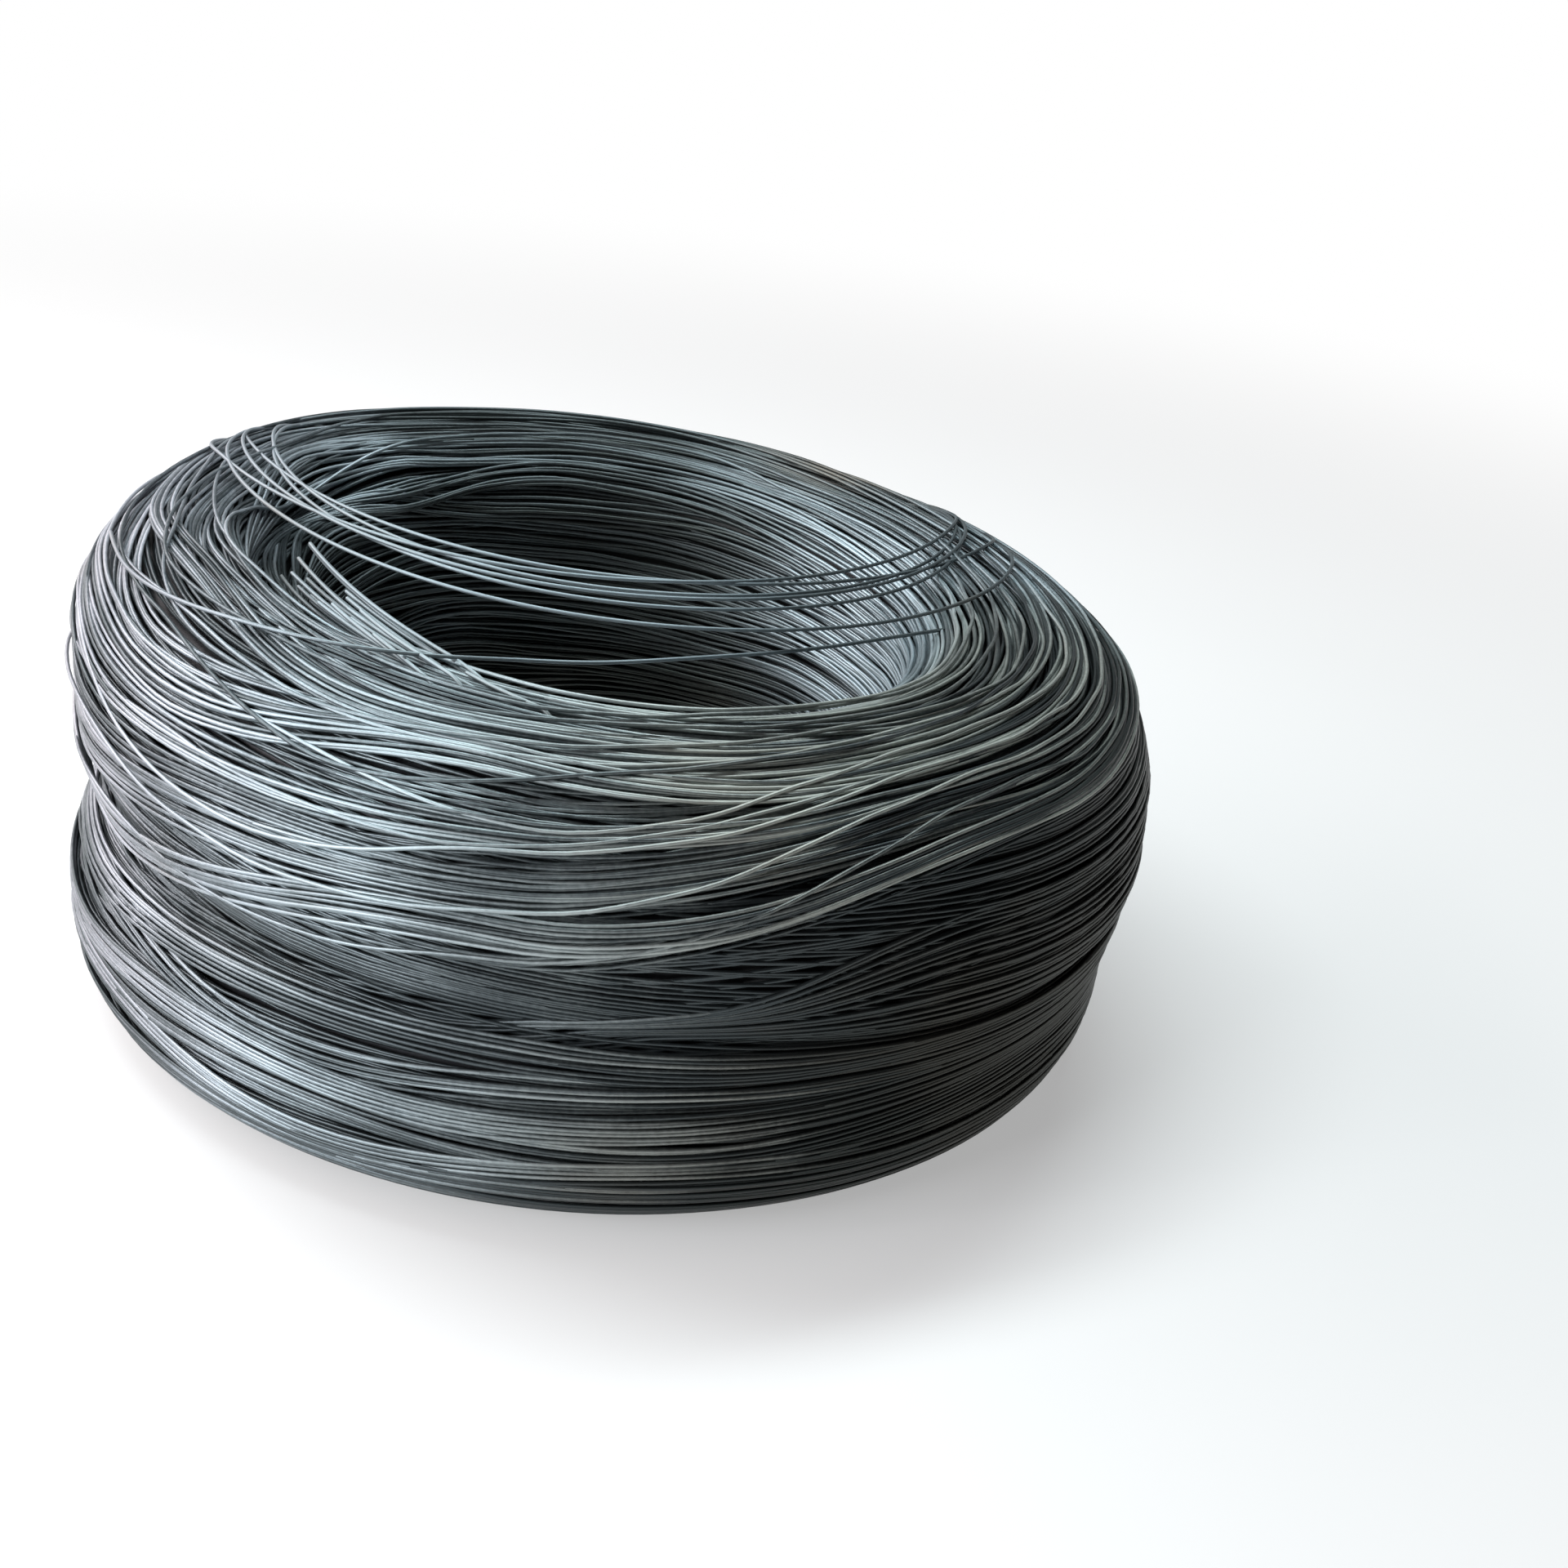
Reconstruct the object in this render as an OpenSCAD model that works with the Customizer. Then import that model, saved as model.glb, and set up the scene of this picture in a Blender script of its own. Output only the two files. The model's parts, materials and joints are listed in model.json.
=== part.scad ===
// Coil of black annealed steel wire, standing on its end.
// The coil is wound loose in two lays, one on top of the other, around an open bore.
// A few slack turns have slid off the top and lie across the mouth of the bore.
// The coil's axis is Z and it stands on the plane z = 0.

/* [Wire] */
// Diameter of the drawn wire
wire_d = 2; // [1.6:0.1:4]
// Gap between neighbouring turns on the outside of the coil
turn_gap = 1.2; // [0.4:0.1:3]

/* [Lays] */
// Diameter of the bore, clear of every turn
bore_d = 304; // [260:1:340]
// Outside diameter of the lower lay
lower_d = 548; // [520:1:600]
// Outside diameter of the upper lay
upper_d = 560; // [520:1:600]
// Height of the lower lay, from the floor to the waist
lower_h = 104; // [90:1:150]
// Height of the upper lay, from the waist to the top
upper_h = 128; // [115:1:190]

/* [Waist] */
// Depth of the waist, in from the outside of the lower lay
waist_depth = 11; // [6:1:26]
// Height over which each lay draws in to the waist
waist_reach = 30; // [20:1:40]
// Radius at the bottom of the waist
waist_r = 8; // [4:1:14]
// Radius where the side of a lay turns in to the waist
shoulder_r = 45; // [20:1:60]

/* [Edges] */
// Radius of the outer edge of the base
base_outer_r = 46; // [20:1:60]
// Radius of the inner edge of the base
base_inner_r = 22; // [10:1:40]
// Radius of the outer edge of the top
top_outer_r = 68; // [30:1:75]
// Radius of the inner edge of the top, the mouth of the bore
top_inner_r = 42; // [20:1:48]

/* [Slack turns] */
// Diameter that the slack turns keep
slack_d = 440; // [400:1:480]
// Number of slack turns that cross side by side
crossing_count = 4; // [1:1:5]
// Distance from the axis to the nearest crossing turn
crossing_reach = 38; // [30:1:70]
// Gap between neighbouring crossing turns
crossing_gap = 6; // [4:0.5:10]
// Direction that the crossing turns have slid in, in degrees from X
crossing_dir = 93; // [0:1:359]
// Gap between the last crossing turn and the single slack turn outside it
single_gap = 33; // [10:1:44]
// Clearance between a slack turn and the turns that it lies on
slack_clearance = 0.2; // [0.1:0.1:0.5]

/* [Hidden] */

wire_r = wire_d / 2;
bore_r = bore_d / 2;
coil_h = lower_h + upper_h;

// The turns stand proud of a smooth outline by the radius of the wire, and none reaches into the bore
crown_w = 0.4 * wire_d;
base_z = wire_r;
top_z = coil_h - wire_r;
lower_side = lower_d / 2 - wire_r;
upper_side = upper_d / 2 - wire_r;
waist_side = lower_side - waist_depth;
bore_side = bore_r + wire_r;

// Corners of the section as [distance from the axis, height], from the foot of the bore
// round the outside to its mouth, and the radius that rounds each of them
corners = [
    [bore_side, base_z],
    [lower_side, base_z],
    [lower_side, lower_h - waist_reach],
    [waist_side, lower_h],
    [upper_side, lower_h + waist_reach],
    [upper_side, top_z],
    [bore_side, top_z],
];
corner_r = [base_inner_r, base_outer_r, shoulder_r, waist_r, shoulder_r, top_outer_r, top_inner_r];
corner_count = len(corners);
// Turn of an arc between two points of the outline, in degrees
arc_step = 3;

function unit(v) = v / norm(v);
function turns_left(a, b) = a[0] * b[1] - a[1] * b[0] > 0;
function next(i) = (i + 1) % corner_count;
function before(i) = (i + corner_count - 1) % corner_count;
function way(from, to) = unit(corners[to] - corners[from]);
function half_angle(i) = acos(way(i, before(i)) * way(i, next(i))) / 2;

// Distance from each corner to where its arc starts: two arcs share a side that is too short for both
wanted = [for (i = [0 : corner_count - 1]) corner_r[i] / tan(half_angle(i))];
share = [for (i = [0 : corner_count - 1])
    min(1, norm(corners[next(i)] - corners[i]) / (wanted[i] + wanted[next(i)]))];
tangent = [for (i = [0 : corner_count - 1]) wanted[i] * min(share[before(i)], share[i])];

// Points of the arc that rounds corner i
function rounded(i) =
    let (
        back = way(i, before(i)),
        ahead = way(i, next(i)),
        half = half_angle(i),
        held_r = tangent[i] * tan(half),
        centre = corners[i] + unit(back + ahead) * held_r / sin(half),
        first = corners[i] + back * tangent[i] - centre,
        start = atan2(first[1], first[0]),
        sweep = (turns_left(back, ahead) ? -1 : 1) * (180 - 2 * half),
        steps = ceil(abs(sweep) / arc_step)
    )
    [for (k = [0 : steps])
        let (a = start + sweep * k / steps)
        centre + held_r * [cos(a), sin(a)]];

// The smooth outline, and the length along it to each of its points
outline = [for (i = [0 : corner_count - 1]) each rounded(i)];
point_count = len(outline);
stretch = [for (i = [1 : point_count]) norm(outline[i % point_count] - outline[i - 1])];
lengths = [for (i = 0, run = 0; i < point_count; run = run + stretch[i], i = i + 1) run];
outline_length = lengths[point_count - 1];
radius_table = [for (i = [0 : point_count - 1]) [lengths[i], outline[i][0]]];
height_table = [for (i = [0 : point_count - 1]) [lengths[i], outline[i][1]]];

// A place on the outline, and the way out of the coil there
function place(along) = [lookup(along, radius_table), lookup(along, height_table)];
function outward(along) =
    let (ahead = unit(place(along + crown_w) - place(along - crown_w)))
    [ahead[1], -ahead[0]];

// The turns fill the outline evenly, at about the wire's diameter and the gap
turn_count = floor(outline_length / (wire_d + turn_gap));
pitch = outline_length / turn_count;

// One turn in section: the valley before it, then its crown, as high as the wire's radius
function turn_section(i) =
    let (
        middle = (i + 0.5) * pitch,
        rise = wire_r * outward(middle)
    )
    [
        place(i * pitch),
        place(middle - crown_w / 2) + rise,
        place(middle + crown_w / 2) + rise,
    ];

// The bore's wall touches the crowns of the innermost turns, between the rounded edges of its ends
wall_foot = base_z + tangent[0];
wall_head = top_z - tangent[corner_count - 1];

// Slack turns lie flat on the crest, the level ring between the rounded edges of the top
crest_inner = bore_side + tangent[corner_count - 1];
crest_outer = upper_side - tangent[corner_count - 2];
crest_r = (crest_inner + crest_outer) / 2;
slack_r = slack_d / 2;
slack_z = coil_h + slack_clearance + wire_r;
crossing_step = wire_d + crossing_gap;
last_reach = crossing_reach + (crossing_count - 1) * crossing_step;
single_reach = last_reach + wire_d + single_gap;

// The coil as one turned solid, with every outside turn of its wire as a ridge
module coil() {
    color("#4a4f55")
    rotate_extrude()
    polygon([
        [bore_r, wall_foot],
        for (i = [0 : turn_count - 1]) each turn_section(i),
        place(outline_length),
        [bore_r, wall_head],
    ]);
}

// One slack turn that comes this near to the axis, from crest to crest across the mouth of the bore
module slack_turn(reach) {
    slide = slack_r - reach;
    half_span = acos((slide * slide + slack_r * slack_r - crest_r * crest_r) / (2 * slide * slack_r));
    translate([slide, 0, slack_z])
    rotate([0, 0, 180 - half_span])
    rotate_extrude(angle = 2 * half_span)
    translate([slack_r, 0])
    circle(d = wire_d, $fn = 24);
}

// Slack turns across the mouth of the bore: a group side by side, and a single one outside it
module slack_turns() {
    color("#6b7178")
    rotate([0, 0, crossing_dir]) {
        for (i = [0 : crossing_count - 1])
            slack_turn(crossing_reach + i * crossing_step);
        slack_turn(single_reach);
    }
}

coil();
slack_turns();
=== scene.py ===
# %% [markdown]
# # A coil of black annealed wire
# This lesson dresses a turned CAD coil as what it really is: a long length of thin drawn steel wire,
# laid loose, turn over turn, in two lays around an open bore. The CAD model gives the sizes. Blender
# gives every visible turn of wire as its own round strand, and the dull blue-black skin that steel
# gets when it is softened in a furnace.

# %% Load the CAD frame
import json
import math

import bmesh
import bpy
from mathutils import Matrix, Vector


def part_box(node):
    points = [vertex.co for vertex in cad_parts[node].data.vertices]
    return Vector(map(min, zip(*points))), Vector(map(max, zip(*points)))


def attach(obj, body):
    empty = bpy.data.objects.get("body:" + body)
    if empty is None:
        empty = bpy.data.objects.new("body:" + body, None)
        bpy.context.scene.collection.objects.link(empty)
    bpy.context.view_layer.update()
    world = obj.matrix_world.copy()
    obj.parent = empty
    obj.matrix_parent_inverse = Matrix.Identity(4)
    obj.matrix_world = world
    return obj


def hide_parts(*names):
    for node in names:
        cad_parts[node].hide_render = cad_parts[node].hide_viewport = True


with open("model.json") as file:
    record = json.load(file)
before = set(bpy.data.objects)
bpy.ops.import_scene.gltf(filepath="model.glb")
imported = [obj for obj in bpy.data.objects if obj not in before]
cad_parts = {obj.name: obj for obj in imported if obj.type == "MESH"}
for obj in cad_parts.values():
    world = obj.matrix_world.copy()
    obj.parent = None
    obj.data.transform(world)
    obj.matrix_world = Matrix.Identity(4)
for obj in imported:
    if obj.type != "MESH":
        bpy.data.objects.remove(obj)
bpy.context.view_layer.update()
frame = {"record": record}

# %% [markdown]
# ## The camera
# The photo is taken from a little above the coil, close enough for the far rim to look smaller, and
# the camera is rolled: the coil stands level, but the picture leans to the right. A camera's place,
# its aim and its roll are separate choices, so each has its own named values, and the rotation is
# put together from the three axes of the view.

# %% Camera
image_px = 1920
focal_px = 2800
sensor_mm = 36.0
camera_rise = math.radians(23.55)
camera_roll = math.radians(7.05)
camera_reach = 1.2036
camera_pivot = Vector((0, 0, 0.145))
camera_aim = Vector((0.0944, 0, 0.1112))

camera_data = bpy.data.cameras.new("camera")
camera_data.sensor_width = sensor_mm
camera_data.lens = sensor_mm * focal_px / image_px
camera = bpy.data.objects.new("camera", camera_data)
bpy.context.scene.collection.objects.link(camera)
camera_place = camera_pivot + camera_reach * Vector((0, -math.cos(camera_rise), math.sin(camera_rise)))
ahead = (camera_aim - camera_place).normalized()
level_right = ahead.cross(Vector((0, 0, 1))).normalized()
level_up = level_right.cross(ahead)
view_right = level_right * math.cos(camera_roll) + level_up * math.sin(camera_roll)
view_up = level_up * math.cos(camera_roll) - level_right * math.sin(camera_roll)
view_axes = Matrix((view_right, view_up, -ahead)).transposed()
camera.matrix_world = Matrix.Translation(camera_place) @ view_axes.to_4x4()
bpy.context.scene.camera = camera
bpy.context.scene.view_settings.view_transform = "Standard"
print("camera at", tuple(round(v, 3) for v in camera_place), "lens", round(camera_data.lens, 1), "mm")

# %% [markdown]
# ## Writing nodes as sums
# Geometry and shading both need a lot of small sums, such as "this turn's place plus its drift".
# Drawn as nodes they are long to write, so one small class wraps a socket: Python's own + - * /
# then add the Math nodes.

# %% Sockets that can be added and multiplied
class Socket:
    """One output of a node, with arithmetic that adds Math nodes to its tree."""

    def __init__(self, nodes, socket):
        self.nodes = nodes
        self.socket = socket

    def __add__(self, other):
        return self.nodes.math("ADD", self, other)

    def __radd__(self, other):
        return self.nodes.math("ADD", other, self)

    def __sub__(self, other):
        return self.nodes.math("SUBTRACT", self, other)

    def __rsub__(self, other):
        return self.nodes.math("SUBTRACT", other, self)

    def __mul__(self, other):
        return self.nodes.math("MULTIPLY", self, other)

    def __rmul__(self, other):
        return self.nodes.math("MULTIPLY", other, self)

    def __truediv__(self, other):
        return self.nodes.math("DIVIDE", self, other)

    def __rtruediv__(self, other):
        return self.nodes.math("DIVIDE", other, self)

# %% [markdown]
# A second class adds any other node to a tree, from its type, its settings and the values of its
# sockets. What is used again and again, such as a smooth step from 0 to 1 or a noise, gets a short
# name there.

# %% Nodes of one tree
class Nodes:
    """Adds nodes to one tree, for a shape or for a finish."""

    def __init__(self, tree):
        self.tree = tree

    def add(self, kind, settings=None, inputs=None):
        """A node of this kind; settings come first, then the values or links of its sockets."""
        node = self.tree.nodes.new(kind)
        for name, value in (settings or {}).items():
            setattr(node, name, value)
        for name, value in (inputs or {}).items():
            if isinstance(name, int):
                target = node.inputs[name]
            else:
                target = next(s for s in node.inputs if s.enabled and s.name == name)
            if isinstance(value, Socket):
                self.tree.links.new(value.socket, target)
            else:
                target.default_value = value
        return node

    def get(self, kind, output, settings=None, inputs=None):
        """One output of a new node, ready for sums."""
        node = self.add(kind, settings, inputs)
        return Socket(self, next(s for s in node.outputs if s.enabled and s.name == output))

    def math(self, operation, *values):
        return self.get("ShaderNodeMath", "Value", {"operation": operation}, dict(enumerate(values)))

    def split(self, vector):
        """The three numbers of a vector."""
        node = self.add("ShaderNodeSeparateXYZ", None, {"Vector": vector})
        return [Socket(self, s) for s in node.outputs]

    def join(self, x, y, z):
        return self.get("ShaderNodeCombineXYZ", "Vector", None, {"X": x, "Y": y, "Z": z})

    def ramp_up(self, value, low, high):
        """0 below low, 1 above high, smooth between them."""
        limits = {"From Min": low, "From Max": high, "To Min": 0.0, "To Max": 1.0}
        smooth = {"interpolation_type": "SMOOTHSTEP"}
        return self.get("ShaderNodeMapRange", "Result", smooth, {"Value": value, **limits})

    def noise(self, vector, scale, detail):
        """Smooth noise, mostly between 0 and 1."""
        inputs = {"Vector": vector, "Scale": scale, "Detail": detail}
        return self.get("ShaderNodeTexNoise", "Fac", None, inputs)

    def wander(self, vector, detail=0.0):
        """Smooth noise between about -1 and 1."""
        return (self.noise(vector, 1.0, detail) - 0.5) * 2.0

    def mix(self, share, first, second):
        """One colour that goes over into another; each is a colour or a socket."""
        first, second = [c if isinstance(c, Socket) else (*c, 1) for c in (first, second)]
        colours = {"Factor": share, "A": first, "B": second}
        return self.get("ShaderNodeMix", "Result", {"data_type": "RGBA"}, colours)

# %% [markdown]
# ## Where the finish differs, and where shade and light are painted
# Annealed wire is drawn bright and then baked without much air, which leaves a thin blue-black oxide.
# The finish also carries painted shade and painted light, by place. Painted shade makes it blackest at
# the lower right, in the bore and on the far side, and a little darker at the foot, the front of the
# waist and the front left of the mouth. Painted light makes the right wall of the bore lighter. Each such
# place is a smooth share from 0 to 1, worked out from where a point lies on the coil. A painted mask
# would do too, but it would need an image.
#
# The turns that lie loose on top are the ones that people handle. They carry a tint above 1, by which
# the finish knows them.

# %% Places on the coil
# Each span is where a share starts and where it is full, in metres on the coil or in tint
# Lower right, bore, far side, foot, waist and mouth mark painted shade; the bore's right wall marks
# painted light
low_right_way, low_right_span = (0.9, -0.35, -0.6), (0.0, 0.20)
bore_span = (0.150, 0.185)
right_wall_x, right_wall_y = (0.02, 0.11), (0.09, 0.16)
far_y, far_share = (0.05, 0.20), 0.8
handled_tint, over_wall_x = (1.0, 1.15), (0.0, 0.10)
foot_z = (0.0, 0.06)
mouth_x, mouth_y, mouth_z = (-0.16, -0.02), (-0.13, -0.03), (0.20, 0.235)
waist_x, waist_z, waist_half = (-0.24, -0.12), 0.102, 0.03
left_x = (-0.27, -0.10)
right_front_x, right_front_y = (-0.15, 0.12), (-0.05, 0.08)
upper_z = (0.08, 0.16)


def bore_places(nodes, x, y, handled):
    """The bore, its right wall for painted light, and the inside with the far side of the coil for
    painted shade.
    """
    from_axis = nodes.math("SQRT", x * x + y * y)
    in_bore = 1.0 - nodes.ramp_up(from_axis, *bore_span)
    right_wall = in_bore * nodes.ramp_up(x, *right_wall_x) * (1.0 - nodes.ramp_up(y, *right_wall_y))
    far_side = far_share * nodes.ramp_up(y, *far_y) * (1.0 - right_wall)
    inside = nodes.math("MAXIMUM", in_bore - right_wall, far_side) * (1.0 - handled)
    return {"in_bore": in_bore, "right_wall": right_wall, "inside": inside}


def front_places(nodes, x, y, z):
    """The front left of the mouth and the front of the waist, both places of painted shade."""
    mouth = nodes.ramp_up(z, *mouth_z) * (1.0 - nodes.ramp_up(x, *mouth_x))
    mouth = mouth * (1.0 - nodes.ramp_up(y, *mouth_y))
    waist = 1.0 - nodes.ramp_up(nodes.math("ABSOLUTE", z - waist_z), 0.0, waist_half)
    return {"mouth": mouth, "waist": waist * nodes.ramp_up(x, *waist_x)}


def finish_places(nodes, place, tint):
    """Shares from 0 to 1 for all the places where the finish differs, painted shade and painted light
    among them.
    """
    x, y, z = nodes.split(place)
    handled = nodes.ramp_up(tint, *handled_tint)
    at = {"handled": handled, **bore_places(nodes, x, y, handled), **front_places(nodes, x, y, z)}
    # Painted shade at the lower right, in the bore, on the far side and at the foot
    right, back, up = low_right_way
    at["low_right"] = nodes.ramp_up(right * x + back * y + up * z, *low_right_span)
    at["dull"] = nodes.math("MAXIMUM", at["low_right"] * (1.0 - handled), at["inside"])
    at["foot"] = 1.0 - nodes.ramp_up(z, *foot_z)
    at["over_wall"] = handled * nodes.ramp_up(x, *over_wall_x)
    at["past_left"] = nodes.ramp_up(x, *left_x)
    at["right_front"] = nodes.ramp_up(x, *right_front_x) * (1.0 - nodes.ramp_up(y, *right_front_y))
    at["right_front"] = at["right_front"] * (1.0 - at["in_bore"])
    at["upper"] = nodes.ramp_up(z, *upper_z)
    return at

# %% [markdown]
# ## Rubbed grey and damp brown
# Handling and the turns' own rubbing wear the oxide to grey. How far it has gone is a sum: a start, the
# turn's own tint, patches as large as a hand, a fine grain, and what each place adds or takes away:
# painted light on the bore's right wall, painted shade at the lower right, the foot, the mouth and the
# waist. At the lower right only the most worn turns stay light, so the tint counts for more there, and
# less rubbing in the bore and on the far side is painted shade too. Damp leaves a little brown, in wide
# soft patches, and less of it in the bore; at the lower right, less brown keeps the painted shade dark.

# %% Wear and damp
wear_start, wear_tint, wear_patches, wear_grain = 0.13, 0.45, 0.70, 0.25
# Painted light on the bore's right wall; painted shade at the lower right, the foot, the mouth and the
# waist
painted_light_places = {"right_wall": 0.25, "low_right": -0.50, "foot": -0.30, "mouth": -0.18, "waist": -0.22}
contrast_lower, contrast_upper, middle_tint = 0.15, 0.55, 0.5
rubbed_span = (0.45, 1.20)
# Less rubbing inside the bore and on the far side is painted shade
rubbed_less_and_painted_shade = {"inside": 0.93, "over_wall": 0.85, "handled": 0.42}
damp_tint, damp_low_right, damp_span = 0.10, 0.10, (0.58, 0.84)
brown_most, brown_less_in_bore, brown_less_low_right = 0.45, 0.35, 0.8


def rubbed_and_painted_light_share(nodes, at, tint, patches, grain):
    """How far the oxide is rubbed grey, with painted light and painted shade by place."""
    wear_and_painted_light = wear_start + wear_tint * tint + wear_patches * patches + wear_grain * grain
    for place, weight in painted_light_places.items():
        wear_and_painted_light = wear_and_painted_light + weight * at[place]
    contrast = contrast_lower + contrast_upper * at["upper"]
    # Painted shade at the lower right that leaves only the most worn turns light
    wear_and_painted_light = wear_and_painted_light + contrast * at["low_right"] * (tint - middle_tint)
    rubbed_and_painted_light = nodes.ramp_up(wear_and_painted_light, *rubbed_span)
    for place, weight in rubbed_less_and_painted_shade.items():
        rubbed_and_painted_light = rubbed_and_painted_light * (1.0 - weight * at[place])
    return rubbed_and_painted_light


def brown_share(nodes, at, tint, damp):
    """How far damp has browned the wire."""
    wet = nodes.ramp_up(damp + damp_tint * tint + damp_low_right * at["low_right"], *damp_span)
    most = brown_most - brown_less_in_bore * at["in_bore"]
    # Less brown at the lower right keeps its painted shade dark
    return wet * most * (1.0 - brown_less_low_right * at["low_right"])

# %% [markdown]
# ## The finish of the wire
# The oxide is satin, not mirror bright: along the crown of each turn it catches a soft line of light.
# No two turns look quite the same, because each lay in another place in the furnace, so the tree that
# makes the turns gives each one a number, its tint. The rubbed grey is a little warmer at the left,
# blue-green in the middle and olive at the right front. Painted shade goes on top: a near-black by
# place, and the same finish in colours darkened to painted shade on the packed turns, which only show
# as darkness between the others.

# %% Wire finish
# The near-black is painted shade, laid where the coil is in shadow
painted_shade_black = (0.022, 0.024, 0.019)
oxide_dark = (0.066, 0.080, 0.086)
worn_greys = {"left": (0.46, 0.465, 0.51), "middle": (0.395, 0.475, 0.515), "right": (0.43, 0.455, 0.42)}
rust_brown = (0.20, 0.155, 0.105)
# Colours darkened to painted shade, for the packed turns
packed_shade_dark = (0.02, 0.021, 0.024)
packed_shade_greys = dict.fromkeys(worn_greys, (0.05, 0.052, 0.057))
# Scale and detail of each noise
patch_noise, damp_noise, grain_noise = (14.0, 4.0), (6.0, 3.0), (420.0, 2.0)
black_most = 0.8
metal_share = 0.8
grain_bump = {"Strength": 0.25, "Distance": 0.0002}
rough_start, rough_grain, rough_tint, rough_brown = 0.33, 0.14, 0.12, 0.20


def wire_colour(nodes, at, dark, greys, rubbed_and_painted_light, browned):
    """Oxide from dark to a painted-shade black, rubbed to one of the greys with painted light and shade,
    then browned.
    """
    oxide_and_shade = nodes.mix(black_most * at["dull"], dark, painted_shade_black)
    grey = nodes.mix(at["past_left"], greys["left"], greys["middle"])
    grey = nodes.mix(at["right_front"], grey, greys["right"])
    return nodes.mix(browned, nodes.mix(rubbed_and_painted_light, oxide_and_shade, grey), rust_brown)


def wire_finish(name, dark, greys):
    """Satin oxide on drawn wire: a tint for each turn, rubbed patches, a little brown, painted shade and
    light by place.
    """
    material = bpy.data.materials.new(name)
    material.use_nodes = True
    material.node_tree.nodes.clear()
    nodes = Nodes(material.node_tree)
    place = nodes.get("ShaderNodeTexCoord", "Object")
    tint = nodes.get("ShaderNodeAttribute", "Fac", {"attribute_name": "tint"})
    grain = nodes.noise(place, *grain_noise)
    at = finish_places(nodes, place, tint)
    rubbed_and_painted_light = rubbed_and_painted_light_share(nodes, at, tint, nodes.noise(place, *patch_noise), grain)
    browned = brown_share(nodes, at, tint, nodes.noise(place, *damp_noise))
    surface = {
        "Base Color": wire_colour(nodes, at, dark, greys, rubbed_and_painted_light, browned),
        "Roughness": rough_start + rough_grain * grain + rough_tint * tint + rough_brown * browned,
        "Metallic": metal_share,
        "Normal": nodes.get("ShaderNodeBump", "Normal", None, {**grain_bump, "Height": grain}),
    }
    shader = nodes.get("ShaderNodeBsdfPrincipled", "BSDF", None, surface)
    nodes.add("ShaderNodeOutputMaterial", None, {"Surface": shader})
    return material


wire_material = wire_finish("annealed_wire", oxide_dark, worn_greys)
core_material = wire_finish("packed_wire_painted_shade", packed_shade_dark, packed_shade_greys)
print("finishes:", wire_material.name, core_material.name)

# %% [markdown]
# ## The section of the coil
# Cut a coil through its axis and the cut shows two rounded lays with a waist between them. The CAD
# model turns that outline about the axis. Here seven corners at the crowns of the turns, each with
# the radius that rounds it, are drawn as one closed curve in the plane of the cut, and a Fillet
# Curve node rounds it. Lengths along the outline then say where each turn of wire lies. The overall
# sizes and the bore come from the frame, the sizes between them repeat the CAD model's own.

# %% Section corners
wire_d = 0.002
wire_r = wire_d / 2
_, coil_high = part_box("coil")
upper_r = coil_high.x
coil_h = coil_high.z
mounts = {m["name"]: m for m in frame["record"]["mounts"]}
bore_r = mounts["bore"]["dims"]["r_mm"] / 1000
lower_r = 0.274
lower_h = 0.104
waist_depth = 0.011
waist_reach = 0.030
base_inner_r, base_outer_r = 0.022, 0.046
shoulder_r, waist_r = 0.045, 0.008
top_outer_r, top_inner_r = 0.068, 0.042
corners = [
    (Vector((bore_r, 0)), base_inner_r),
    (Vector((lower_r, 0)), base_outer_r),
    (Vector((lower_r, lower_h - waist_reach)), shoulder_r),
    (Vector((lower_r - waist_depth, lower_h)), waist_r),
    (Vector((upper_r, lower_h + waist_reach)), shoulder_r),
    (Vector((upper_r, coil_h)), top_outer_r),
    (Vector((bore_r, coil_h)), top_inner_r),
]
waist_corner, top_outer_corner, top_inner_corner = 3, 5, 6
print("section:", len(corners), "corners, bore radius", bore_r, "m, height", round(coil_h, 3), "m")

# %% Section outline
def arc_marks(corners):
    """Lengths along the rounded outline where each corner's arc starts and ends, and the whole length."""
    tangents, arcs = [], []
    for i, (corner, radius) in enumerate(corners):
        back = corners[i - 1][0] - corner
        ahead = corners[(i + 1) % len(corners)][0] - corner
        half = back.angle(ahead) / 2
        tangents.append(radius / math.tan(half))
        arcs.append(radius * (math.pi - 2 * half))
    marks, run = [], 0.0
    for i, (corner, radius) in enumerate(corners):
        after = (i + 1) % len(corners)
        marks.append((run, run + arcs[i]))
        run += arcs[i] + (corners[after][0] - corner).length - tangents[i] - tangents[after]
    return marks, run


marks, outline_length = arc_marks(corners)
waist_at = sum(marks[waist_corner]) / 2
section_curve = bpy.data.curves.new("section", "CURVE")
section_curve.dimensions = "3D"
spline = section_curve.splines.new("POLY")
spline.points.add(len(corners) - 1)
spline.use_cyclic_u = True
for point, (corner, radius) in zip(spline.points, corners):
    point.co = (corner.x, 0, corner.y, 1)
    point.radius = radius
section = bpy.data.objects.new("section", section_curve)
bpy.context.scene.collection.objects.link(section)
print("outline", round(outline_length, 3), "m, waist at", round(waist_at, 3), "m")

# %% [markdown]
# ## Lean, hollow and fill
# The real coil has slumped. Everything above the waist leans to the right, which is a small slope of
# its height and a small shift of its place. Bundles have slid off at the left of the mouth and left a
# hollow, and at the right front belts of turns fill up the waist. The lean comes in with the height.
# The hollow and the fill are each one smooth share, which fades with the direction round the axis and
# with the length along the outline. Sculpting would do it too, but not for every strand alike.

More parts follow.
